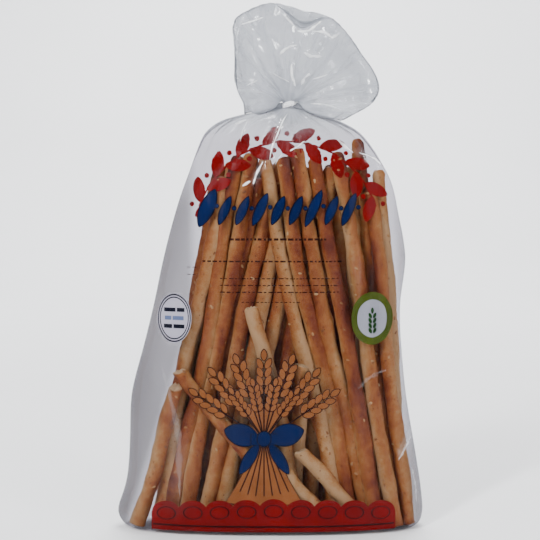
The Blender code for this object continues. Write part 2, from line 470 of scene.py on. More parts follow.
def crust_finish():
    """Baked crust, from cream sides to toasted patches, with dry grain and dark flecks."""
    finish = Finish("baked_crust")
    place = finish.place()
    patches = finish.clouds(finish.place((1.0, 1.0, 0.35)), 0.016, 3.0, 0.55)
    mottle = finish.clouds(place, 0.0042, 4.0, 0.6)
    grain = finish.clouds(place, 0.0009, 3.0, 0.6)
    fleck = 1 - finish.dots(place, 0.0046).between(0.08, 0.16)
    # The bake attribute also holds painted shade on one side of each stick
    bake = finish.attribute("bake")
    level = bake + 1.05 * (patches - 0.5) + 0.5 * (mottle - 0.5) + 0.26 * (grain - 0.5)
    colour = finish.ramp(level.within(), CRUST_TONES)
    colour = finish.blend(fleck * 0.6, colour, linear(98, 42, 14))
    colour = finish.blend(finish.attribute("crumb"), colour, linear(222, 194, 148))
    normal = finish.bump(grain * 0.35 + mottle * 0.65 + fleck * -0.35, 0.0009, 0.9)
    return finish.solid(colour, 0.52 + 0.2 * grain, normal)


def seed_finish():
    """Toasted sesame seeds."""
    finish = Finish("sesame_seed")
    place = finish.place()
    tone = finish.attribute("tone") + 0.3 * (finish.clouds(place, 0.012, 2.0) - 0.5)
    skin = finish.clouds(place, 0.0007, 2.0)
    colour = finish.ramp(tone.within(), SEED_TONES)
    return finish.solid(colour, 0.38 + 0.15 * skin, finish.bump(skin, 0.0002, 0.6))


def film_finish(settings):
    """Thin clear packing film: tinted, darker beside the sticks as painted shade, milky in its
    folds, with a wet-looking gloss.
    """
    finish = Finish("clear_film")
    place = finish.place()
    airy = finish.attribute("airy")
    crinkle = finish.clouds(place, 0.011, 2.0, 0.5)
    groove = finish.dots(place, 0.021, "DISTANCE_TO_EDGE").between(0.0, 0.09)
    normal = finish.bump(crinkle + 0.8 * groove * airy, 0.0016, settings.film_crinkle)
    clear, slack, light = [
        finish.shader("Transparent", Color=(*tint, 1.0))
        for tint in (settings.film_tint, settings.slack_shade_tint, settings.tuft_tint)
    ]
    # Darker tint of the slack film beside the sticks: painted shade
    clear = finish.layered(finish.attribute("shade"), clear, slack)
    clear = finish.layered(airy, clear, light)
    milk = finish.shader("Diffuse", Color=linear(166, 170, 178))
    roughness = settings.film_roughness
    gloss = finish.shader("Glossy", Color=WHITE, Roughness=roughness, Normal=normal)
    fresnel = finish.level("Fresnel", 0, {"IOR": 1.5, "Normal": normal})
    mirror = fresnel * settings.film_gloss * finish.attribute("sheen")
    shine = finish.maths("MINIMUM", mirror, settings.film_rim)
    edge_on = finish.level("LayerWeight", 1, {"Blend": 0.5})
    veil = settings.film_haze + finish.attribute("folds") + settings.rim_milk * edge_on**4
    body = finish.layered(veil.within(), clear, milk)
    return finish.output(finish.layered(shine, body, gloss))


def highlight_streak_finish():
    """Sharp creases of the film with a painted highlight: white along the ridge, clear at the
    foot.
    """
    finish = Finish("creased_film")
    clear = finish.shader("Transparent", Color=WHITE)
    uneven = finish.clouds(finish.place(), 0.004, 2.0)
    level = finish.attribute("white")
    # White ridge: painted highlight along the crease
    white, coat = linear(253, 253, 254), 0.8 * level * level
    white = finish.shader("Principled", Base_Color=white, Roughness=0.25, Coat_Weight=coat)
    share = (level * (0.45 + 1.1 * uneven)).within()
    return finish.output(finish.layered(share, clear, white))


def ink_finish(name, dark, light):
    """Ink on the inside of the film, a little uneven in density."""
    finish = Finish(name)
    place = finish.place()
    density = finish.clouds(place, 0.012, 3.0)
    speckle = finish.clouds(place, 0.0009, 1.0)
    share = (density * 1.8 - 0.4 + (speckle - 0.5) * 0.35).within()
    colour = finish.blend(share, dark, light)
    normal = finish.bump(speckle, 0.0001, 0.4)
    return finish.solid(colour, 0.34 + 0.14 * speckle, normal, Specular_IOR_Level=0.15)


def tie_finish():
    """White plastic-covered wire with a faint ribbed skin."""
    finish = Finish("white_tie")
    ribs = finish.clouds(finish.place(), 0.0012, 2.0)
    colour = finish.blend(ribs, linear(250, 250, 252), linear(255, 255, 255))
    normal = finish.bump(ribs, 0.0002, 0.6)
    return finish.solid(colour, 0.30 + 0.1 * ribs, normal, Coat_Weight=0.6, Coat_Roughness=0.1)


def floor_finish():
    """Pale matt studio paper."""
    finish = Finish("studio_paper")
    tone = finish.clouds(finish.place(), 0.4, 2.0)
    colour = finish.blend(tone, linear(226, 227, 229), linear(234, 235, 237))
    return finish.solid(colour, 0.75 + 0.1 * tone)


# Mesh helpers


def select_only(*pieces):
    """Make these pieces the selection, the first of them active."""
    if bpy.context.object and bpy.context.object.mode != "OBJECT":
        bpy.ops.object.mode_set(mode="OBJECT")
    for other in bpy.context.view_layer.objects:
        other.select_set(False)
    for piece in pieces:
        piece.select_set(True)
    bpy.context.view_layer.objects.active = pieces[0] if pieces else None


def select_all_inside():
    """Enter edit mode and select all of the active piece's mesh."""
    bpy.ops.object.mode_set(mode="EDIT")
    bpy.ops.mesh.select_all(action="SELECT")


def select_where(kind, test):
    """Enter edit mode and select only the edges or faces that pass a test."""
    bpy.ops.object.mode_set(mode="EDIT")
    bpy.ops.mesh.select_all(action="DESELECT")
    data = bpy.context.object.data
    mesh = bmesh.from_edit_mesh(data)
    for item in getattr(mesh, kind):
        item.select = test(item)
    bmesh.update_edit_mesh(data)


def face_outwards():
    """Turn all faces of the active closed piece outwards."""
    select_all_inside()
    bpy.ops.mesh.normals_make_consistent(inside=False)
    bpy.ops.object.mode_set(mode="OBJECT")


def apply_modifiers(piece):
    """Apply all of a piece's modifiers in order."""
    select_only(piece)
    for modifier in list(piece.modifiers):
        bpy.ops.object.modifier_apply(modifier=modifier.name)


def points_of(piece, what="co"):
    """A piece's vertex places, or their normals, as an array."""
    flat = np.empty(len(piece.data.vertices) * 3)
    piece.data.vertices.foreach_get(what, flat)
    return flat.reshape(-1, 3)


def put_points(piece, points):
    """Move a piece's vertices to new places."""
    piece.data.vertices.foreach_set("co", np.asarray(points, dtype=float).ravel())
    piece.data.update()


def store_level(piece, name, values):
    """Keep a number for each vertex on the mesh, from one number or from one for each."""
    values = np.broadcast_to(np.asarray(values, dtype=float), len(piece.data.vertices))
    layer = piece.data.attributes.new(name, "FLOAT", "POINT")
    layer.data.foreach_set("value", values.copy())


def tree_of(piece):
    """Search tree of a piece's faces."""
    select_only()
    return BVHTree.FromObject(piece, bpy.context.evaluated_depsgraph_get())


def seen_from_front(tree, x, z):
    """Place and normal where a straight look from the front meets a piece, or None twice."""
    return tree.ray_cast(Vector((x, -1, z)), Vector((0, 1, 0)))[:2]


def settle(piece, material, slot, *replaced):
    """Give a finished piece its material and body, and hide the solids that it replaces. Its slot
    is not used.
    """
    piece.data.materials.clear()
    piece.data.materials.append(material)
    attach(piece, "root")
    if replaced:
        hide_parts(*replaced)
    return piece


def copy_of(blank):
    """A copy of a blank with its own mesh."""
    piece = blank.copy()
    piece.data = blank.data.copy()
    bpy.context.scene.collection.objects.link(piece)
    return piece


def remove(*pieces):
    """Delete blanks that have served."""
    for piece in pieces:
        bpy.data.objects.remove(piece, do_unlink=True)


def join(name, pieces):
    """One piece from several."""
    select_only(*pieces)
    bpy.ops.object.join()
    whole = bpy.context.object
    whole.name = whole.data.name = name
    return whole


def order_faces(piece):
    """Put a piece's faces in the order of their first corners.

    Blender gives a sphere's faces in another order in each run. The search for the nearest
    face would differ with them, and so would the lay of the sticks.
    """
    mesh = bmesh.new()
    mesh.from_mesh(piece.data)
    count = len(mesh.verts)
    mesh.faces.sort(key=lambda face: face.verts[0].index * count + face.verts[1].index)
    mesh.to_mesh(piece.data)
    mesh.free()


def added(operator, **sizes):
    """The new piece that an operator adds, with its place and turn applied."""
    select_only()
    operator(**sizes)
    bpy.ops.object.transform_apply(location=True, rotation=True, scale=True)
    return bpy.context.object


def ringed_bar(sides, cuts):
    """A round bar one in radius and one long, standing on its end and cut into rings."""
    add = bpy.ops.mesh.primitive_cylinder_add
    bar = added(add, vertices=sides, radius=1, depth=1, location=(0, 0, 0.5))
    select_where("edges", lambda edge: abs(edge.verts[0].co.z - edge.verts[1].co.z) > 0.5)
    bpy.ops.mesh.subdivide(number_cuts=cuts)
    bpy.ops.object.mode_set(mode="OBJECT")
    return bar


# Film


def rough(*place):
    """Soft noise at a place, from -1 to 1."""
    return noise.noise(Vector(place))


def fold(*place):
    """Ridged fold at a place in the noise: 0 in the fold line, rising to 1 away from it."""
    return min(abs(rough(*place)) * 2.2, 1.0)


def hump(away, width):
    """1 at a place, fading to 0 a few widths away from it."""
    return np.exp(-((away / width) ** 2))


def film_relief(point, normal):
    """How far the film sinks at a point from its loose folds, in metres."""
    x, y, z = point
    across, up = x - TIE_CENTRE.x, z - TIE_CENTRE.z
    reach, turn = math.hypot(across, up), math.atan2(up, across)
    side = 3.0 if y > 0 else 0.0
    start = eased((reach - 0.006) / 0.014) * (0.04 + 0.96 * normal[1] ** 2)
    if up > 0.002:
        near = 1 - eased((reach - 0.012) / 0.05)
        broad = 0.0034 * fold(turn * 2.2 + side, reach * 12 + side, 4.0)
        fan = (0.0004 + 0.0010 * near) * fold(turn * 6.5 - side, reach * 9, 7.0)
        return (broad + fan + 0.0013 * fold(x * 26, y * 26, z * 26)) * start
    near = eased((z - 0.225) / 0.04)
    fan = 0.0024 * fold(turn * 5.0 + side, reach * 6 + side, 1.0)
    fine = 0.0008 * fold(turn * 13.0 - side, reach * 11, 2.0)
    drape = 0.0016 * fold(x * 22, y * 22 + side, z * 9)
    crumple = 0.0005 * fold(x * 45, y * 45, z * 30)
    return (near * (fan + fine) * start + (drape + crumple) * start) * eased(z / 0.012)


def crease_rise(points, line, width, height):
    """How far one raised crease lifts each point of the film's front."""
    flat = points[:, (0, 2)]
    best = np.full(len(points), 1.0)
    share = np.zeros(len(points))
    nodes = np.array(line) * MM
    for index, (start, stop) in enumerate(zip(nodes, nodes[1:])):
        run = stop - start
        along = held((flat - start) @ run / (run @ run))
        away = np.linalg.norm(flat - start - along[:, None] * run, axis=1)
        closer = away < best
        best = np.where(closer, away, best)
        share = np.where(closer, (index + along) / (len(nodes) - 1), share)
    tent = held(1 - best / (width * MM))
    taper = held(np.minimum(share, 1 - share) * 5 + 0.15)
    return tent * taper * height * MM


def film_sheen(points, shine):
    """How much the film shines: most in the tuft and its creases, least over the shoulders."""
    high = held((points[:, 2] - 0.268) / 0.025)
    side = held(np.abs(points[:, 0] - 0.004) / 0.08 - 0.55)
    loose = held(np.array([rough(*point * 16) for point in points]) * 2.0) * 0.06
    calm = 1 - 0.93 * held(1.6 - np.abs(points[:, 2] - 0.228) / 0.030)
    return np.clip((FILM_SHEEN + 0.04 * side + loose) * calm + TUFT_SHEEN * high + shine, 0, 1.6)


def slack_edge(up):
    """Place across where the slack film on the left ends and the sticks begin."""
    foot, lean, most = SLACK_LINE
    return np.minimum(foot + lean * up, most)


def slack_shade_share(points):
    """Share of slack film beside the sticks at each point, with none over the white stamp. Its
    darker tint there is painted shade, stronger towards the bottom.
    """
    across, up = points[:, 0], points[:, 2]
    beside = held((slack_edge(up) + 0.003 - across) / 0.007)
    outer = held((-0.101 + 0.225 * up - across) / 0.014)
    # More painted shade towards the bottom
    beside *= 0.52 + 0.2 * held(1 - up / 0.13)
    right = held((across - 0.097 + 0.055 * up) / 0.007)
    share = held((0.272 - up) / 0.05) * np.maximum(beside + 0.2 * outer, 0.4 * right)
    stamp_x, stamp_z, wide, tall = np.array(STAMP) * MM
    off_stamp = held(np.hypot((across - stamp_x) / wide, (up - stamp_z) / tall) * 8 - 7.4)
    return share * np.where(points[:, 1] < 0, off_stamp, 1)


def film_milk(points, slack):
    """Milky haze of the film's folds: strong in the tuft, faint where it lies slack."""
    across, up = points[:, 0] - TIE_CENTRE.x, points[:, 2] - TIE_CENTRE.z
    reach, turn = np.hypot(across, up), np.arctan2(up, across)
    sides = np.where(points[:, 1] > 0, 3.0, 0.0)
    pleats = np.array([rough(4.5 * t, 14 * r, side) for t, r, side in zip(turn, reach, sides)])
    pleats = held(1 - np.abs(pleats) * 5) ** 2
    neck = held(1 - reach / 0.045) ** 2
    tuft = np.maximum(held(up / 0.003), 0.7 * held((up + 0.022) / 0.016))
    milk = TUFT_MILK * tuft * (1 + 0.5 * pleats) + NECK_MILK * neck * (0.4 + 0.6 * pleats)
    knot = KNOT_MILK * hump(reach, 0.014)
    return np.clip(milk + knot + DRAPE_MILK * drape_share(points) + FOLD_GREY * slack, 0, 0.8)


def beyond(skin, point):
    """How far a point lies outside a skin, and the skin's normal there."""
    near, normal, _, _ = skin.find_nearest(Vector(point))
    return (Vector(point) - near).dot(normal), normal


def keep_reach(film, skin):
    """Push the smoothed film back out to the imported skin."""
    ends = np.empty(len(film.data.edges) * 2, dtype=int)
    film.data.edges.foreach_get("vertices", ends)
    first, second = ends.reshape(-1, 2).T
    for _ in range(3):
        points, normals = points_of(film), points_of(film, "normal")
        inset = np.array([max(-beyond(skin, p)[0] - SKIN_SLACK, 0) for p in points])
        for _ in range(4):
            total, count = inset.copy(), np.ones(len(inset))
            for here, there in ((first, second), (second, first)):
                np.add.at(total, here, inset[there])
                np.add.at(count, here, 1)
            inset = total / count
        put_points(film, points + normals * inset[:, None])


def low_fold(points, start, height):
    """Share of the tuft's lowest folds at each point, from a start beside the tie."""
    across, up = np.abs(points[:, 0] - TIE_CENTRE.x), points[:, 2] - TIE_CENTRE.z
    above = up + np.where(points[:, 0] < TIE_CENTRE.x, 0.175, 0.29) * across
    ease = np.vectorize(eased)
    fade = 1 - ease((above - 0.001) / height)
    return ease((across - start) / 0.005) * ease(above / 0.0005) * fade


def drape_share(points):
    """Share of the folds that hang over the shoulders in front and behind."""
    return low_fold(points, 0.0053, 0.007) * held(np.abs(points[:, 1]) / 0.003 - 0.33)


def drape_neck(points):
    """Let the tuft's lowest folds hang over the shoulders and close its outer corners."""
    share = drape_share(points)
    rest = low_fold(points, 0.0125, 0.006) * (1 - share)
    points[:, 1] += np.sign(points[:, 1]) * DRAPE_OUT * MM * share
    points[:, 2] -= (DRAPE_DOWN * share + CORNER_DOWN * rest) * MM


def neck_fold(side):
    """A small gathered fold of film that fills the corner beside the tie."""
    piece = added(bpy.ops.mesh.primitive_uv_sphere_add, segments=48, ring_count=14, radius=1)
    points = points_of(piece)[:, (2, 0, 1)]
    turn = np.arctan2(points[:, 2], points[:, 1])
    pleat = (1 + 0.16 * np.cos(6 * turn + side)) * (1 - 0.3 * side * points[:, 0])
    wide, deep, tall = NECK_FOLD_SIZE
    points[:, 1] *= deep * pleat
    points[:, 2] = tall * pleat * points[:, 2] - 0.9 * side * points[:, 0]
    points[:, 0] *= wide
    across, up = NECK_FOLD_PLACE
    put_points(piece, points * MM + np.array(TIE_CENTRE) + np.array((across * side, 0, up)) * MM)
    order_faces(piece)
    for name, level in (("sheen", 0.4), ("shade", 0.0), ("folds", 0.75), ("airy", 1.0)):
        store_level(piece, name, level)
    return piece


def build_film(settings):
    """The film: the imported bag's own skin, made finer, folded and crumpled."""
    source = frame["nodes"]["bag"]
    film = bpy.data.objects.new("bag_film", source.data.copy())
    film.matrix_world = source.matrix_world.copy()
    bpy.context.scene.collection.objects.link(film)
    select_only(film)
    bpy.ops.object.transform_apply(location=True, rotation=True, scale=True)
    select_all_inside()
    bpy.ops.mesh.remove_doubles(threshold=0.00001)
    bpy.ops.mesh.tris_convert_to_quads(face_threshold=1.2, shape_threshold=1.6)
    bpy.ops.object.mode_set(mode="OBJECT")
    skin = tree_of(film)
    finer = film.modifiers.new("finer", "SUBSURF")
    finer.levels = finer.render_levels = FILM_LEVELS
    apply_modifiers(film)
    keep_reach(film, skin)
    points, normals = points_of(film), points_of(film, "normal")
    sink = np.array([film_relief(p, n) for p, n in zip(points, normals)])
    front = held(-normals[:, 1] * 3)
    rise, shine = np.zeros(len(points)), np.zeros(len(points))
    for width, height, line in FRONT_CREASES:
        lift = front * crease_rise(points, line, width, height)
        rise = np.maximum(rise, lift)
        shine = np.maximum(shine, lift / (0.06 * MM * width**2))
    slack = slack_shade_share(points)
    store_level(film, "sheen", film_sheen(points, shine))
    # Painted shade: share of the slack film's darker tint
    store_level(film, "shade", slack)
    store_level(film, "folds", film_milk(points, slack))
    store_level(film, "airy", held((points[:, 2] - 0.270) / 0.018))
    points = points - normals * (sink - rise)[:, None]
    drape_neck(points)
    points[:, 2] = np.maximum(points[:, 2], 0.0)
    put_points(film, points)
    film = join("bag_film", [film, neck_fold(-1), neck_fold(1)])
    bpy.ops.object.shade_smooth()
    return settle(film, film_finish(settings), "film", "bag")


def places_on(line, shares):
    """Places across and up at given shares of a line's length."""
    nodes = np.array(line) * MM
    reach = np.cumsum([0, *np.linalg.norm(np.diff(nodes, axis=0), axis=1)])
    asked = held(shares) * reach[-1]
    return np.stack([np.interp(asked, reach, nodes[:, axis]) for axis in (0, 1)], axis=1)


def build_highlight_streaks(film):
    """Sharp creases on the front film, white as a painted highlight: low ridges that taper to both
    ends.
    """
    tree = tree_of(film)
    blank = ringed_bar(8, 30)
    creases = []
    for width, white, line in FILM_HIGHLIGHT_STREAKS:
        crease = copy_of(blank)
        points = points_of(crease)
        cross, lift, along = points.T.copy()
        centre = places_on(line, along)
        run = places_on(line, along + 0.03) - places_on(line, along - 0.03)
        taper = np.sqrt(np.clip(4 * along * (1 - along), 0.01, 1)) * width / 2 * MM
        uneven = np.array([rough(x * 300, z * 300, width) for x, z in centre])
        taper = taper * np.clip(1 + 0.9 * uneven, 0.4, 1.6)
        for index, (x, z) in enumerate(centre):
            at, normal = seen_from_front(tree, x, z)
            if at is None:
                at, normal, _, _ = tree.find_nearest(Vector((x, -0.01, z)))
            side = Vector((run[index][0], 0, run[index][1])).cross(normal).normalized()
            rise = 0.45 * max(lift[index], 0) + 0.15 * min(lift[index], 0)
            points[index] = at + (side * cross[index] + normal * rise) * taper[index]
        put_points(crease, points)
        # Whiteness of the painted highlight along each ridge
        store_level(crease, "white", white * held(lift))
        creases.append(crease)
    piece = join("film_creases", creases)
    face_outwards()
    bpy.ops.object.shade_smooth()
    settle(piece, highlight_streak_finish(), "film")
    remove(blank)


# Breadsticks


def set_depths(tree, foot, head, depth, low=0.03, high=0.23):
    """Set both ends as deep in the bag as asked, from its room at a low and a high place."""
    for end, height, room in ((foot, low, 7 * MM), (head, high, 6 * MM)):
        at, _ = seen_from_front(tree, end.x, height)
        half = 0.01 if at is None else -at.y
        end.y = depth * (half - room)


def first_lay(tree, rng):
    """Lay the sticks roughly, as the front shows them and by a rule behind.

    Gives each stick's foot, head, depth, bake, thickness and broken ends.
    """
    lay = []
    for foot, head, height, depth, bake, thick in FRONT_LAY:
        ends = Vector((foot, 0, 3)) * MM, Vector((head, 0, height)) * MM
        set_depths(tree, *ends, depth)
        lay.append((*ends, depth, bake, thick * MM, ""))
    for foot, low, head, high, depth, bake, thick, broken in BROKEN_LAY:
        ends = Vector((foot, 0, low)) * MM, Vector((head, 0, high)) * MM
        set_depths(tree, *ends, depth, ends[0].z + 0.02, ends[1].z)
        lay.append((*ends, depth, bake, thick * MM, broken))
    for count, shift, depth in BEHIND_ROWS:
        for index in range(count):
            share = (index + shift) / count
            foot = Vector((BEHIND_FEET[0] + BEHIND_FEET[1] * share, 0, 0.003))
            head = Vector((BEHIND_HEADS[0] + BEHIND_HEADS[1] * share, 0, 0.0))
            foot.x += rng.uniform(-0.002, 0.002)
            head.x += rng.uniform(-0.006, 0.006)
            head.z = rng.uniform(0.236, 0.253)
            set_depths(tree, foot, head, depth)
            bake = rng.uniform(0.15, 0.7) * (0.5 if foot.x < -0.07 else 1.0)
            lay.append((foot, head, depth, bake, rng.uniform(*BEHIND_THICKNESS), ""))
    return lay


def closest_shares(start_a, run_a, start_b, run_b):
    """Shares along pairs of straight runs where they come closest."""
    between = start_a - start_b
    aa = (run_a * run_a).sum(1)
    bb = (run_b * run_b).sum(1)
    ab = (run_a * run_b).sum(1)
    a_between = (run_a * between).sum(1)
    b_between = (run_b * between).sum(1)
    spread = np.maximum(aa * bb - ab * ab, 1e-12)
    share_a = held((ab * b_between - a_between * bb) / spread)
    share_b = held((ab * share_a + b_between) / bb)
    share_a = held((ab * share_b - a_between) / aa)
    return share_a, share_b


def radius_at(thick, share):
    """Radius of sticks at a share of their length."""
    return thick[:, 0] + (thick[:, 1] - thick[:, 0]) * share


def lever(share):
    """How far a place on a stick moves when each end moves by its part of a push."""
    return (1 - share) ** 2 + share**2


def push_apart(foot, head, thick, depth, pairs):
    """Move overlapping sticks apart, mostly in depth."""
    a, b = pairs
    run_a, run_b = head[a] - foot[a], head[b] - foot[b]
    share_a, share_b = closest_shares(foot[a], run_a, foot[b], run_b)
    gap = foot[a] + run_a * share_a[:, None] - foot[b] - run_b * share_b[:, None]
    need = radius_at(thick[a], share_a)
    need = need + thick[b, 0] + (thick[b, 1] - thick[b, 0]) * share_b
    overlap = np.maximum(need - np.linalg.norm(gap, axis=1), 0)
    way = gap * np.array((0.6, 1.0, 0.6))
    way[:, 1] += (depth[a] - depth[b]) * 0.1 * need
    push = way / np.maximum(np.linalg.norm(way, axis=1), 1e-9)[:, None]
    push = push * (overlap * 0.3)[:, None]
    for who, share, sign in ((a, share_a, 1), (b, share_b, -1)):
        np.add.at(foot, who, sign * push * ((1 - share) / lever(share))[:, None])
        np.add.at(head, who, sign * push * (share / lever(share))[:, None])


def hold_inside(foot, head, thick, tree):
    """Move sticks that reach through the film back inside it."""
    for share in (0.0, 0.15, 0.35, 0.55, 0.75, 0.9, 1.0):
        points, radii = foot + (head - foot) * share, radius_at(thick, share)
        end_room = 0.6 if share in (0.0, 1.0) else 1.0
        for index, point in enumerate(points):
            over, normal = beyond(tree, point)
            over = over + radii[index] * end_room + STICK_ROOM
            if over > 0:
                move = -np.array(normal) * over
                foot[index] += move * (1 - share) / lever(share)
                head[index] += move * share / lever(share)


def hold_off_slack(foot, head, thick):
    """Move sticks that reach into the slack film on the left back out of it."""
    for share in np.linspace(0, 1, 7):
        points = foot + (head - foot) * share
        reach = slack_edge(points[:, 2]) + radius_at(thick, share) - points[:, 0]
        over = np.maximum(reach, 0) * 0.7
        foot[:, 0] += over * (1 - share) / lever(share)
        head[:, 0] += over * share / lever(share)


def settle_lay(lay, tree):
    """Push the sticks apart and into the film until they lie side by side."""
    foot, head, pull, _, thick, _ = map(np.array, zip(*lay))
    thick = thick[:, None] / 2 * np.array((1, STICK_TAPER))
    homes = foot[:, 0].copy(), head[:, 0].copy()
    length = np.linalg.norm(head - foot, axis=1)
    standing = foot[:, 2] < 0.005
    pairs = np.triu_indices(len(foot), 1)
    for step in range(SETTLE_STEPS):
        left = 1 - step / SETTLE_STEPS
        for end, home in zip((foot, head), homes):
            end[:, 1] += pull * PULL_STEP * left
            end[:, 0] += (home - end[:, 0]) * HOME_STEP * left
        push_apart(foot, head, thick, pull, pairs)
        hold_off_slack(foot, head, thick)
        hold_inside(foot, head, thick, tree)
        foot[standing, 2] = FOOT_HEIGHT
        run = head - foot
        run /= np.linalg.norm(run, axis=1)[:, None]
        head = foot + run * length[:, None]
    return foot, head, thick


def stick_blank():
    """A round bar one metre long and one in radius, with rings and domed ends."""
    blank = ringed_bar(20, 71)
    for end, way in ((0.0, -1), (1.0, 1)):
        select_where(
            "faces",
            lambda face: len(face.verts) > 4 and abs(face.calc_center_median().z - end) < 0.01,
        )
        for inset, dome in ((0.14, 0.38), (0.22, 0.22), (0.30, 0.08)):
            bpy.ops.mesh.inset(thickness=inset)
            bpy.ops.transform.translate(value=(0, 0, dome * way))
        bpy.ops.mesh.poke()
    bpy.ops.object.mode_set(mode="OBJECT")
    return blank


def waves(rng, along, count, low, high, size):
    """A few random waves added up along a stick, each with low to high turns on it."""
    total = np.zeros_like(along)
    for _ in range(count):
        turns, phase = rng.uniform(low, high), rng.uniform(0, math.tau)
        total += size * rng.uniform(0.4, 1.0) * np.sin(math.tau * turns * along + phase)
    return total


def shape_stick(piece, foot, head, thick, broken, rng):
    """Bend, thicken and place one stick. Gives its points' shares along it and turns round it."""
    unit = points_of(piece)
    along = held(unit[:, 2])
    cap = unit[:, 2] - along
    turn = np.arctan2(unit[:, 1], unit[:, 0])
    out = np.hypot(unit[:, 0], unit[:, 1])
    length = (head - foot).length
    direction = (head - foot).normalized()
    side = direction.cross(Vector((0, 1, 0))).normalized()
    front = direction.cross(side).normalized()
    radius = thick[0] + (thick[1] - thick[0]) * along
    radius = radius * (1 + waves(rng, along, 3, length * 8, length * 38, 0.046))
    lumps = np.zeros_like(along)
    for lobes in (1, 2, 3):
        lump = waves(rng, along, 2, length * 6, length * 38, 0.038)
        lumps += lump * np.cos(lobes * turn + rng.uniform(0, math.tau))
    snapped = [end for end, name in ((0.0, "lower"), (1.0, "upper")) if broken in (name, "both")]
    for end in (0.0, 1.0):
        if end not in snapped:
            knob = rng.uniform(-0.16, 0.10)
            radius = radius * (1 + knob * hump(np.abs(along - end) * length, 0.008))
    radius = radius * (1 + lumps)
    room = 0.0016 * min(length / 0.2, 1.0)
    sway_x = waves(rng, along, 2, 0.5, 1.6, room)
    sway_y = waves(rng, along, 2, 0.5, 1.6, room * 0.5)
    crumb = np.zeros_like(along)
    for end in snapped:
        flat = np.abs(along - end) < 1e-4
        jag = np.array([rng.uniform(-1, 1) for _ in along])
        slant = out * np.cos(turn - rng.uniform(0, math.tau))
        cap = np.where(flat, cap * 0.4 + jag * 0.22 * (out < 0.98) + slant * 0.45, cap)
        crumb = np.where(flat & (out < 0.9), 0.8 + 0.2 * jag, crumb)
    squash = rng.uniform(0.90, 1.0)
    ends = np.where(along > 0.5, thick[1], thick[0])
    places = (
        np.array(foot)
        + np.outer(np.cos(turn) * out * radius + sway_x, side)
        + np.outer(np.sin(turn) * out * radius * squash + sway_y, front)
        + np.outer(along * length + cap * ends, direction)
    )
    put_points(piece, places)
    store_level(piece, "crumb", crumb)
    return along, turn


def bake_and_shade_stick(piece, length, along, turn, bake, broken, rng):
    """Store how baked each point is: one toasted side that also paints shade across the stick,
    patches, blisters and ends; the crust is also paler towards the bottom of the bag.
    """
    top = rng.uniform(-0.8, 0.8) + math.pi * rng.choice((0, 1))
    # One side darker: partly toasted crust, partly painted shade
    tone = bake + 0.27 * np.cos(turn - top) - 0.20 * np.abs(np.cos(turn)) ** 2 * rng.uniform(0, 1)
    tone = tone + waves(rng, along, 2, length * 4, length * 14, 0.08)
    # Paler towards the bottom of the bag
    tone = tone + 0.9 * (np.minimum(points_of(piece)[:, 2], 0.18) - 0.125)
    for _ in range(rng.randrange(4)):
        away = along * length - rng.uniform(0, length) - 0.0015 * np.cos(2 * turn)
        tone = tone + rng.uniform(0.06, 0.22) * hump(away, rng.uniform(0.002, 0.005))
    near_end = np.minimum(along, 1 - along) * length
    tone = tone + rng.uniform(0.02, 0.26) * hump(near_end, 0.010) * (broken == "")
    store_level(piece, "bake", tone)


def press_inside(piece, tree):
    """Keep a finished stick's skin just inside the film and its print."""
    points = points_of(piece)
    for index, point in enumerate(points):
        over, normal = beyond(tree, point)
        over = over + FILM_ROOM
        if over > 0:
            points[index] = point - np.array(normal) * over
    put_points(piece, points)


def seed_blank():
    """A sesame seed 1 long: a flat drop with one pointed end."""
    blank = added(bpy.ops.mesh.primitive_uv_sphere_add, segments=7, ring_count=4, radius=0.5)
    order_faces(blank)
    points = points_of(blank)[:, (2, 0, 1)]
    narrow = 0.62 - 0.42 * points[:, 0]
    points[:, 1] *= narrow
    points[:, 2] *= narrow * 0.55
    put_points(blank, points)
    select_only(blank)
    bpy.ops.object.shade_smooth()
    return blank


def seeds_on(stick, blank, count, rng):
    """Seeds pressed into one stick's crust, lying at random turns."""
    faces = [face for face in stick.data.polygons if len(face.vertices) == 4]
    seeds = []
    for face in rng.sample(faces, count):
        spin = rng.uniform(0, math.tau)
        outward = face.normal.to_track_quat("Z", "Y").to_matrix().to_4x4()
        size = rng.uniform(*SEED_LENGTHS) * MM
        move = Matrix.Translation(face.center - face.normal * SEED_SINK)
        move = move @ outward @ Matrix.Rotation(spin, 4, "Z") @ Matrix.Scale(size, 4)
        seed = copy_of(blank)
        seed.data.transform(move)
        store_level(seed, "tone", rng.uniform(0, 1))
        seeds.append(seed)
    return seeds


def build_sticks(film):
    """All breadsticks, laid inside the film, and their seeds."""
    rng = random.Random(41)
    tree = tree_of(film)
    lay = first_lay(tree, rng)
    blank, seed = stick_blank(), seed_blank()
    texture = bpy.data.textures.new("crust_unevenness", "CLOUDS")
    texture.noise_scale = CRUST_LUMP
    texture.noise_depth = 2
    whole, broken, seeds = [], [], []
    for (*_, bake, _, snapped), foot, head, thick in zip(lay, *settle_lay(lay, tree)):
        stick = copy_of(blank)
        start, stop = Vector(foot), Vector(head)
        along, turn = shape_stick(stick, start, stop, thick, snapped, rng)
        bake_and_shade_stick(stick, (stop - start).length, along, turn, bake, snapped, rng)
        uneven = stick.modifiers.new("uneven", "DISPLACE")
        uneven.texture = texture
        uneven.texture_coords = "LOCAL"
        uneven.strength = CRUST_RISE
        uneven.mid_level = 0.5
        apply_modifiers(stick)
        press_inside(stick, tree)
        seeds += seeds_on(stick, seed, int((stop - start).length * SEEDS_PER_METRE), rng)
        (broken if snapped else whole).append(stick)
    crust = crust_finish()
    for name, sticks in (("breadsticks", whole), ("broken_breadsticks", broken)):
        piece = join(name, sticks)
        bpy.ops.object.shade_smooth()
        settle(piece, crust, "bread", "bag")
    settle(join("sesame_seeds", seeds), seed_finish(), "seed", "bag")
    remove(blank, seed)
    bpy.data.textures.remove(texture)


# Neck tie


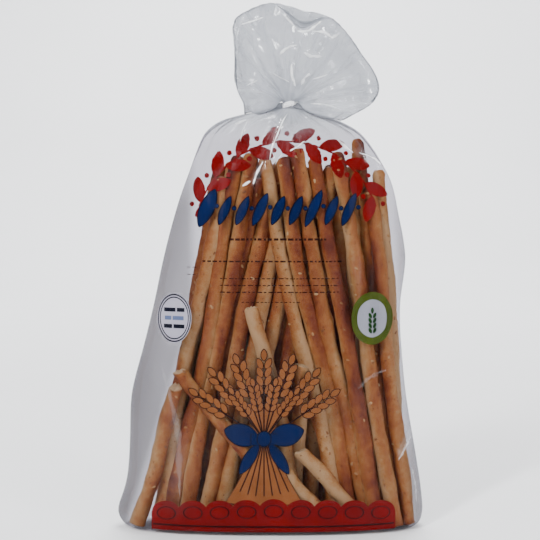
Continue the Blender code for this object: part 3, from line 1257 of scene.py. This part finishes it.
def wrap_of_tie(height, lean, radius):
    """One flat turn of the tie round the gathered neck."""
    wrap = added(
        bpy.ops.mesh.primitive_torus_add,
        major_segments=72,
        minor_segments=14,
        major_radius=radius * MM,
        minor_radius=WRAP_RADIUS * MM,
        rotation=(0, math.radians(lean), 0),
    )
    points = points_of(wrap)
    points[:, 2] *= 1.25
    points += np.array(TIE_CENTRE) + np.array((0, 0, height * MM))
    put_points(wrap, points)
    return wrap


def tail_of_tie(reach, side):
    """One loose end, wound round its partner in front of the neck."""
    tail = ringed_bar(12, 30)
    points = points_of(tail)
    along = points[:, 2]
    turn = math.tau * TAIL_TURNS * along + side
    spread = TWIST_RADIUS * MM * (1 + 1.2 * held(along - 0.7))
    around, out = np.arctan2(points[:, 1], points[:, 0]), np.hypot(points[:, 0], points[:, 1])
    thick = out * TAIL_RADIUS * MM
    across = reach * MM * along
    depth = thick * np.cos(around) + spread * np.cos(turn)
    up = thick * np.sin(around) + spread * np.sin(turn) - 0.18 * across
    front = np.array((TIE_CENTRE.x + 3.2 * MM, TIE_BOX[0][1] - 0.6 * MM, TIE_CENTRE.z))
    put_points(tail, np.stack((-across, depth, up), axis=1) + front)
    return tail


def build_tie():
    """White tie: three turns round the neck and two short ends twisted together."""
    turns = [wrap_of_tie(-1.1, -15, 4.6), wrap_of_tie(0.1, -8, 4.8), wrap_of_tie(1.2, -13, 4.6)]
    ends = [tail_of_tie(7.5, 0.0), tail_of_tie(6.8, math.pi)]
    tie = join("white_neck_tie", turns + ends)
    face_outwards()
    bpy.ops.object.shade_smooth_by_angle(angle=math.radians(50))
    settle(tie, tie_finish(), "tie", "neck_tie")


# Print


def flat_disc(corners=32):
    """A disc one in radius, facing the front."""
    upright = (math.pi / 2, 0, 0)
    add = bpy.ops.mesh.primitive_circle_add
    return added(add, vertices=corners, radius=1, fill_type="NGON", rotation=upright)


def flat_leaf():
    """A leaf or grain from -1 to 1 across, with pointed ends."""
    leaf = flat_disc(26)
    points = points_of(leaf)
    points[:, 2] *= np.abs(points[:, 2]) ** 0.45
    put_points(leaf, points)
    return leaf


def flat_bar():
    """A square from -1 to 1 each way, facing the front."""
    return added(bpy.ops.mesh.primitive_plane_add, size=2, rotation=(math.pi / 2, 0, 0))


def flat_ring(inner):
    """A ring one in radius with a round hole."""
    ring = flat_disc(56)
    select_all_inside()
    bpy.ops.mesh.inset(thickness=1 - inner)
    bpy.ops.mesh.delete(type="FACE")
    bpy.ops.object.mode_set(mode="OBJECT")
    return ring


def flat_skirt():
    """Flared bundle of stalks: narrow at the top, wide and rounded at the bottom."""
    skirt = flat_bar()
    select_all_inside()
    bpy.ops.mesh.subdivide(number_cuts=9)
    bpy.ops.object.mode_set(mode="OBJECT")
    points = points_of(skirt)
    down = (1 - points[:, 2]) / 2
    points[:, 2] -= 0.10 * down * np.cos(points[:, 0] * math.pi / 2)
    points[:, 0] *= 0.26 + 0.74 * down**1.5
    put_points(skirt, points)
    return skirt


class Ink:
    """Flat shapes of one colour, gathered and then laid on the inside of the film."""

    def __init__(self, name, blanks, dark, light):
        self.name, self.blanks = name, blanks
        self.dark, self.light = linear(*dark), linear(*light)
        self.shapes = []

    def stamp(self, kind, across, up, wide, tall, turn=0.0, layer=0):
        """Put a shape on the front: centre, half sizes in millimetres, turn in degrees."""
        shape = copy_of(self.blanks[kind])
        place = Matrix.Translation((across, 0, up)) @ Matrix.Rotation(-math.radians(turn), 4, "Y")
        shape.data.transform(Matrix.Scale(MM, 4) @ place @ Matrix.Diagonal((wide, 1, tall, 1)))
        store_level(shape, "layer", layer)
        self.shapes.append(shape)

    def press(self, tree):
        """Join the shapes, cut them into small faces and lay them on the film."""
        piece = join(self.name, self.shapes)
        cut_in_squares(piece, PRINT_GRID)
        points = points_of(piece)
        layers = np.empty(len(points))
        piece.data.attributes["layer"].data.foreach_get("value", layers)
        for index, (x, _, z) in enumerate(points):
            hit, normal = seen_from_front(tree, x, z)
            if hit is None:
                raise ValueError(f"{self.name} reaches past the film")
            points[index] = hit - normal * (PRINT_DEPTH - PRINT_STEP * layers[index])
        put_points(piece, points)
        body = piece.modifiers.new("thickness", "SOLIDIFY")
        body.thickness = INK_THICKNESS
        body.offset = -1
        apply_modifiers(piece)
        settle(piece, ink_finish(self.name, self.dark, self.light), "print")


def cut_in_squares(piece, step):
    """Cut a flat piece along a square grid so that it can bend."""
    points = points_of(piece)
    mesh = bmesh.new()
    mesh.from_mesh(piece.data)
    for axis in (0, 2):
        low, high = points[:, axis].min(), points[:, axis].max()
        for number in range(1, int((high - low) / step) + 1):
            place, along = Vector(), Vector()
            place[axis], along[axis] = low + number * step, 1
            parts = mesh.verts[:] + mesh.edges[:] + mesh.faces[:]
            bmesh.ops.bisect_plane(mesh, geom=parts, plane_co=place, plane_no=along)
    mesh.to_mesh(piece.data)
    mesh.free()


def off_centre(across, up, degrees, reach, off=0.0):
    """Place a reach away from a centre at a lean from upright, and off to the right of it."""
    lean = math.radians(degrees)
    x = across + reach * math.sin(lean) + off * math.cos(lean)
    return x, up + reach * math.cos(lean) - off * math.sin(lean)


def arch_place(degrees, rise=0.0):
    """Point and lean of the red branch, degrees from its top, rise outside its line."""
    across, up, wide, tall = BRANCH_ARCH
    turn = math.radians(degrees)
    lean = math.atan2(tall * math.sin(turn), wide * math.cos(turn))
    x = across + wide * math.sin(turn) + rise * math.sin(lean)
    z = up + tall * math.cos(turn) + rise * math.cos(lean)
    return x, z, math.degrees(lean)


def print_garland(red):
    """Red branch arched over the shoulders."""
    leaves, parts = 17, 72
    for number in range(leaves):
        side = 1 if number % 2 else -1
        degrees = -BRANCH_SPREAD + 2 * BRANCH_SPREAD * number / (leaves - 1)
        across, up, lean = arch_place(degrees, 5.0 * side)
        red.stamp("leaf", across, up, 9.0, 4.3, -lean + 36 * side, 1)
        across, up, _ = arch_place(degrees, -5.5 * side)
        red.stamp("disc", across, up, 1.7, 1.7, 0, 1)
    for number in range(parts):
        degrees = -BRANCH_SPREAD + 2 * BRANCH_SPREAD * (number + 0.5) / parts
        across, up, lean = arch_place(degrees)
        red.stamp("bar", across, up, 1.3, 0.6, -lean)


def print_row(inks):
    """Row of slender slanted blue blades with dark edges."""
    for number, half in enumerate(BLADE_HALVES):
        across, up = BLADES_LEFT + number * BLADE_STEP, 222 + (half - 10) * 0.5
        wide = 4.6 if number == 0 else 2.7
        for ink, grow, layer in (("navy", 0.9, 2), ("blue", 0.0, 3)):
            inks[ink].stamp("leaf", across, up, half + grow, wide + grow, 66, layer)
            dot = 1.2 + grow / 2
            inks[ink].stamp("disc", across + 6.6, up + 1.5, dot, dot, 0, layer)


def print_rules(sepia, rng):
    """Rows of short fine dashes."""
    for up, first, last, half, low, high in DASH_ROWS:
        across = first
        while across < last:
            dash = min(rng.uniform(low, high), last - across)
            sepia.stamp("bar", across + dash / 2, up, dash / 2, half)
            across += dash + rng.uniform(0.8, 1.5)


def print_badges(inks):
    """White stamp on the left and green ring on the right."""
    across, up, wide, tall = STAMP
    inks["white"].stamp("disc", across, up, wide, tall)
    inks["navy"].stamp("fine_ring", across, up, 11.9, 16.4, 0, 1)
    inks["navy"].stamp("fine_ring", across, up, 10.4, 14.6, 0, 1)
    for rise, halves, ink in STAMP_BARS:
        left = across - sum(halves) - 0.5
        for half in halves:
            inks[ink].stamp("bar", left + half, up + rise, half, 1.35, 0, 2)
            left += 2 * half + 1.0
    across, up = RING_PLACE
    inks["pale"].stamp("disc", across, up, 10.6, 13.4)
    inks["green"].stamp("broad_ring", across, up, 14.9, 18.0, 0, 1)
    print_ear(inks, "leaf_green", None, across, up - 1.5, 0, 17.0, 2)


def print_ear(inks, fill, edge, across, up, turn, length, layer):
    """An ear of grain: pairs of slanted grains and one at the tip."""
    pairs = 4
    half = length * 0.128
    for number in range(pairs + 1):
        for side in (0,) if number == pairs else (-1, 1):
            rise, off = length * (-0.40 + 0.20 * number), side * length * 0.098
            place = off_centre(across, up, turn, rise, off)
            slant = 90 - turn - side * 27
            if edge:
                inks[edge].stamp("leaf", *place, half + 0.7, half * 0.52 + 0.6, slant, layer)
            inks[fill].stamp("leaf", *place, half, half * 0.52, slant, layer + 1)


def print_sheaf(inks):
    """Tan sheaf of grain with a blue bow, over the red border."""
    across, up = SHEAF_PLACE
    for turn, z, wide, tall, layer in ((0, 45.5, 27, 22.5, 4), (180, up + 11.5, 19, 12.5, 0)):
        inks["brown"].stamp("skirt", across, z, wide, tall, turn, layer)
        inks["tan"].stamp("skirt", across, z, wide - 0.9, tall - 0.7, turn, layer + 1)
    for reach, length, count, spread, layer in ((46, 29, 7, 57, 2), (31, 22, 4, 34, 4)):
        for number in range(count):
            turn = -spread + 2 * spread * number / (count - 1)
            low, high = 4, reach - length * 0.3
            middle = off_centre(across, up, turn, (low + high) / 2)
            inks["brown"].stamp("bar", *middle, 0.5, (high - low) / 2, -turn, 2)
            tip = off_centre(across, up, turn, reach)
            print_ear(inks, "tan", "brown", *tip, turn, length, layer)
    for number in range(7):
        turn = -24 + 8 * number
        lean = math.radians(turn)
        x, z = across - 20 * math.sin(lean), up - 22 * math.cos(lean)
        inks["brown"].stamp("bar", x - 0.5 * number + 1.5, z, 0.45, 17, -turn, 6)
    for ink, grow, layer in (("navy", 0.8, 6), ("blue", 0.0, 7)):
        stamp = inks[ink].stamp
        for side in (-1, 1):
            stamp("leaf", across + side * 15, up + 3, 12 + grow, 7 + grow, side * 16, layer)
            stamp("leaf", across + side * 10, up - 13, 12 + grow, 3.4 + grow, side * -58, layer)
        stamp("bar", across, up, 8.6 + grow, 3.4 + grow, 0, layer + 1)
        stamp("disc", across, up + 0.4, 4.4 + grow, 4.8 + grow, 0, layer + 3)


def print_border(red, maroon):
    """Scalloped red border along the foot."""
    middle, scallops = 2.5, 9
    red.stamp("bar", middle, 9.5, 84, 6.5, 0, 8)
    for number in range(scallops):
        off = number - scallops // 2
        across, up = middle + off * 18.4, 15.5 + 3.0 * math.cos(off * 0.35)
        red.stamp("disc", across, up, 10.0, 7.5, 0, 7)
        maroon.stamp("hoop", across, up - 1, 6.8, 4.6, 0, 9)
    maroon.stamp("bar", middle, 7.0, 83, 0.6, 0, 9)


def build_print(film):
    """All print: gathered by ink, then pressed on the film."""
    tree = tree_of(film)
    blanks = {
        "disc": flat_disc(),
        "leaf": flat_leaf(),
        "bar": flat_bar(),
        "fine_ring": flat_ring(0.94),
        "broad_ring": flat_ring(0.72),
        "hoop": flat_ring(0.86),
        "skirt": flat_skirt(),
    }
    inks = {name: Ink(f"print_{name}", blanks, *colours) for name, colours in INK_COLOURS.items()}
    print_garland(inks["red"])
    print_row(inks)
    print_rules(inks["sepia"], random.Random(7))
    print_badges(inks)
    print_sheaf(inks)
    print_border(inks["red"], inks["maroon"])
    for ink in inks.values():
        ink.press(tree)
    remove(*blanks.values())


# Stage


def build_sweep():
    """Pale floor that sweeps up into walls on all sides."""
    floor = added(bpy.ops.mesh.primitive_plane_add, size=FLOOR_SIZE)
    floor.name = "studio_floor"
    select_where("edges", lambda edge: True)
    bpy.ops.mesh.extrude_region_move(TRANSFORM_OT_translate={"value": (0, 0, WALL_HEIGHT)})
    select_where(
        "edges", lambda edge: min(vertex.co.z for vertex in edge.verts) < WALL_HEIGHT - 0.1
    )
    bpy.ops.mesh.bevel(offset=SWEEP_BEND, segments=16, affect="EDGES")
    bpy.ops.object.mode_set(mode="OBJECT")
    bpy.ops.object.shade_smooth()
    floor.data.materials.append(floor_finish())


def build_stage(settings):
    """Swept floor, soft lamps and the camera."""
    build_sweep()
    world = bpy.data.worlds.new("studio_air")
    bpy.context.scene.world = world
    world.use_nodes = True
    air = world.node_tree.nodes["Background"]
    air.inputs["Color"].default_value = linear(240, 242, 246)
    air.inputs["Strength"].default_value = settings.air_light
    for name, place, size, power in LAMPS:
        bpy.ops.object.light_add(type="AREA", location=place)
        lamp = bpy.context.object
        lamp.name = name
        lamp.data.shape = "RECTANGLE"
        lamp.data.size, lamp.data.size_y = size
        lamp.data.energy = power * settings.lamp_power
        aim = (place[0] * 2, place[1] * 2, 0.6) if "wall" in name else (0, 0, 0.18)
        lamp.rotation_euler = (Vector(place) - Vector(aim)).to_track_quat("Z", "Y").to_euler()
    add_camera(settings)


def add_camera(settings):
    """Camera at the photograph's view, a little above the bag's middle and tilted down."""
    turn = math.radians(settings.camera_turn)
    place = Vector((math.sin(turn), -math.cos(turn), 0)) * settings.camera_distance
    place.z = settings.camera_height
    bpy.ops.object.camera_add(location=place)
    camera = bpy.context.object
    camera.name = "photo_view"
    camera.data.sensor_width = 36
    camera.data.lens = settings.camera_lens
    camera.data.dof.use_dof = False
    pitch = math.radians(90 - settings.camera_tilt)
    camera.rotation_euler = (pitch, math.radians(settings.camera_roll), turn)
    bpy.context.scene.camera = camera


# Add-on


def tint_setting(name, description, default):
    """Setting for a colour that film lets through."""
    return bpy.props.FloatVectorProperty(
        name=name, description=description, subtype="COLOR", size=3, min=0, max=1, default=default
    )


def share_setting(name, description, default):
    """Setting from 0 to 1."""
    return bpy.props.FloatProperty(
        name=name, description=description, subtype="FACTOR", min=0, max=1, default=default
    )


def number_setting(name, description, default, **limits):
    """Setting that is a plain number or a length."""
    return bpy.props.FloatProperty(name=name, description=description, default=default, **limits)


class BreadstickBagSettings(bpy.types.PropertyGroup):
    """Sizes and colours that a user would change."""

    film_tint: tint_setting(
        "Film tint", "Colour that one layer of film lets through", (0.63, 0.62, 0.65)
    )
    # Darker tint of the slack film beside the sticks: painted shade
    slack_shade_tint: tint_setting(
        "Slack film tint",
        "Colour that one layer of the slack film beside the sticks lets through",
        (0.295, 0.282, 0.292),
    )
    tuft_tint: tint_setting(
        "Tuft tint",
        "Colour that one layer of the film lets through above the sticks",
        (0.72, 0.728, 0.745),
    )
    rim_milk: share_setting("Rim milk", "Share of milky haze where the film is seen edge on", 0.45)
    film_haze: share_setting(
        "Film haze", "Share of milky haze in one layer of film where it clings", 0.003
    )
    film_gloss: number_setting(
        "Film gloss", "Mirror strength of the film beside plain glass", 2.2, min=0, max=8
    )
    film_rim: share_setting(
        "Film rim", "Most that the film mirrors where it is seen edge on", 0.09
    )
    film_crinkle: share_setting("Film crinkle", "Strength of the film's finest crinkles", 0.30)
    film_roughness: share_setting("Film roughness", "Roughness of the film's mirror gloss", 0.17)
    air_light: number_setting("Room light", "Strength of the soft light all round", 0.04)
    lamp_power: number_setting("Lamp power", "Factor on the power of every lamp", 1.0)
    camera_distance: number_setting(
        "Camera distance", "Distance of the camera from the bag's middle", 0.80, unit="LENGTH"
    )
    camera_height: number_setting(
        "Camera height", "Height of the camera above the floor", 0.23, unit="LENGTH"
    )
    camera_lens: number_setting("Camera lens", "Focal length in millimetres", 76.7)
    camera_tilt: number_setting("Camera tilt", "Degrees that the camera looks down", 3.55)
    camera_turn: number_setting("Camera turn", "Degrees round the bag from its front", 0.0)
    camera_roll: number_setting("Camera roll", "Degrees that the camera leans", 0.0)


class BREADSTICKS_OT_film(bpy.types.Operator):
    """Make the clear film of the bag"""

    bl_idname = "breadsticks.film"
    bl_label = "Clear film"

    def execute(self, context):
        build_highlight_streaks(build_film(context.scene.breadstick_bag))
        return {"FINISHED"}


class BREADSTICKS_OT_sticks(bpy.types.Operator):
    """Lay the breadsticks inside the film"""

    bl_idname = "breadsticks.sticks"
    bl_label = "Breadsticks"

    def execute(self, context):
        build_sticks(bpy.data.objects["bag_film"])
        return {"FINISHED"}


class BREADSTICKS_OT_tie(bpy.types.Operator):
    """Wind the white tie round the neck"""

    bl_idname = "breadsticks.tie"
    bl_label = "Neck tie"

    def execute(self, context):
        build_tie()
        return {"FINISHED"}


class BREADSTICKS_OT_print(bpy.types.Operator):
    """Lay the print on the front film"""

    bl_idname = "breadsticks.print"
    bl_label = "Print"

    def execute(self, context):
        build_print(bpy.data.objects["bag_film"])
        return {"FINISHED"}


class BREADSTICKS_OT_stage(bpy.types.Operator):
    """Set the floor, lamps and camera"""

    bl_idname = "breadsticks.stage"
    bl_label = "Stage"

    def execute(self, context):
        build_stage(context.scene.breadstick_bag)
        return {"FINISHED"}


class BREADSTICKS_PT_panel(bpy.types.Panel):
    """Lists the steps and settings of the breadstick bag"""

    bl_label = "Breadstick bag"
    bl_idname = "BREADSTICKS_PT_panel"
    bl_space_type = "VIEW_3D"
    bl_region_type = "UI"
    bl_category = "Breadsticks"

    def draw(self, context):
        for operator in OPERATORS:
            self.layout.operator(operator.bl_idname)
        for name in BreadstickBagSettings.__annotations__:
            self.layout.prop(context.scene.breadstick_bag, name)


OPERATORS = (
    BREADSTICKS_OT_film,
    BREADSTICKS_OT_sticks,
    BREADSTICKS_OT_tie,
    BREADSTICKS_OT_print,
    BREADSTICKS_OT_stage,
)
CLASSES = (BreadstickBagSettings, *OPERATORS, BREADSTICKS_PT_panel)


def register():
    """Register the classes and the settings."""
    for each in CLASSES:
        bpy.utils.register_class(each)
    bpy.types.Scene.breadstick_bag = bpy.props.PointerProperty(type=BreadstickBagSettings)


def unregister():
    """Take the classes and the settings out again."""
    del bpy.types.Scene.breadstick_bag
    for each in reversed(CLASSES):
        bpy.utils.unregister_class(each)


def main():
    """Build every piece in order."""
    register()
    bpy.ops.breadsticks.film()
    bpy.ops.breadsticks.sticks()
    bpy.ops.breadsticks.tie()
    bpy.ops.breadsticks.print()
    bpy.ops.breadsticks.stage()


if __name__ == "__main__":
    main()
